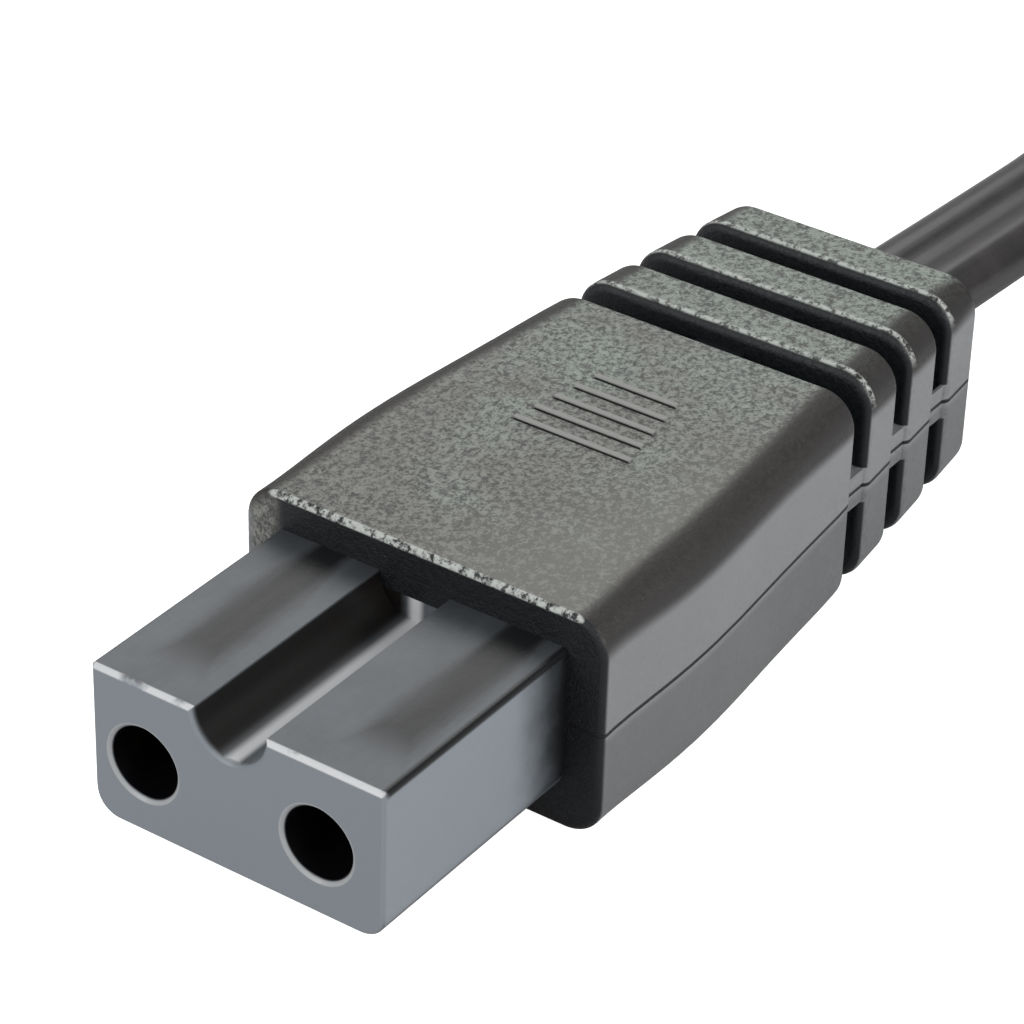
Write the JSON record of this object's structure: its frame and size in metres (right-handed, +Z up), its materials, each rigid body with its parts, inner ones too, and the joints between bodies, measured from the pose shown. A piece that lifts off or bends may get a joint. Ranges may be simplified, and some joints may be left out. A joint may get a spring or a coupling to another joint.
{
  "type": "car refrigerator power lead",
  "caption": "Moulded twin-socket connector with keyway and ribbed strain relief, flat twin cord put away as a tied hank, and a fused accessory plug.",
  "frame": {"origin": "on the table under the middle of the connector, measured without the cord and its plug", "axes": "+X to the right when looking into the back of the connector from above the cord, +Y from the connector's mouth back along the cord, +Z up"},
  "size_m": [0.0534, 0.325, 0.0209],
  "materials": {
    "hard_plastic": "satin moulded",
    "soft_plastic": "fine spark-eroded grain",
    "cord_plastic": "smooth extruded",
    "core_plastic": "smooth extruded",
    "plug_plastic": "satin moulded",
    "tie_plastic": "satin",
    "brass": "stamped",
    "copper": "stranded",
    "nickel": "nickel plated",
    "wire": "drawn",
    "glass": "clear",
    "lens": "clear red",
    "board": "laminate",
    "resistor": "lacquered"
  },
  "bodies": {
    "lead": {"socket_insert": "hard_plastic", "contact_sleeve_left": "brass", "contact_sleeve_right": "brass", "connector_core_left": "core_plastic", "connector_core_right": "core_plastic", "connector_strands_left": "copper", "connector_strands_right": "copper", "connector_overmould": "soft_plastic", "cord_lead": "cord_plastic", "cord_tail": "cord_plastic", "cord_hank": "cord_plastic", "hank_ties": "tie_plastic", "tip_spring": "wire", "positive_terminal": "brass", "negative_strap": "brass", "plug_shell_upper": "plug_plastic", "plug_shell_lower": "plug_plastic", "shell_screws": "nickel", "indicator_lens": "lens", "indicator_board": "board", "indicator_led": "lens", "resistor": "resistor", "plug_core_positive": "core_plastic", "plug_core_negative": "core_plastic", "plug_strands": "copper", "plug_strain_relief": "soft_plastic"},
    "tip_and_fuse": {"tip_contact": "nickel", "fuse_cap_front": "nickel", "fuse_glass": "glass", "fuse_cap_rear": "nickel", "fuse_element": "wire"},
    "cap": {"nose_cap": "plug_plastic"},
    "side_left": {"side_contact_left": "nickel"},
    "side_right": {"side_contact_right": "nickel"}
  },
  "joints": [
    {"name": "tip_press", "type": "slide", "parent": "lead", "child": "tip_and_fuse", "axis": [0, -1, 0], "range_m": [0, 0.003], "stiffness_N_per_m": 500, "springref_m": -0.002, "deforming": ["tip_spring"]},
    {"name": "nose_cap_unscrew", "type": "slide", "parent": "lead", "child": "cap", "axis": [0, 1, 0], "range_m": [0, 0.007]},
    {"name": "side_left_press", "type": "slide", "parent": "lead", "child": "side_left", "axis": [1, 0, 0], "range_m": [0, 0.0012], "stiffness_N_per_m": 800, "springref_m": -0.0005},
    {"name": "side_right_press", "type": "slide", "parent": "lead", "child": "side_right", "axis": [-1, 0, 0], "range_m": [0, 0.0012], "stiffness_N_per_m": 800, "springref_m": -0.0005}
  ]
}
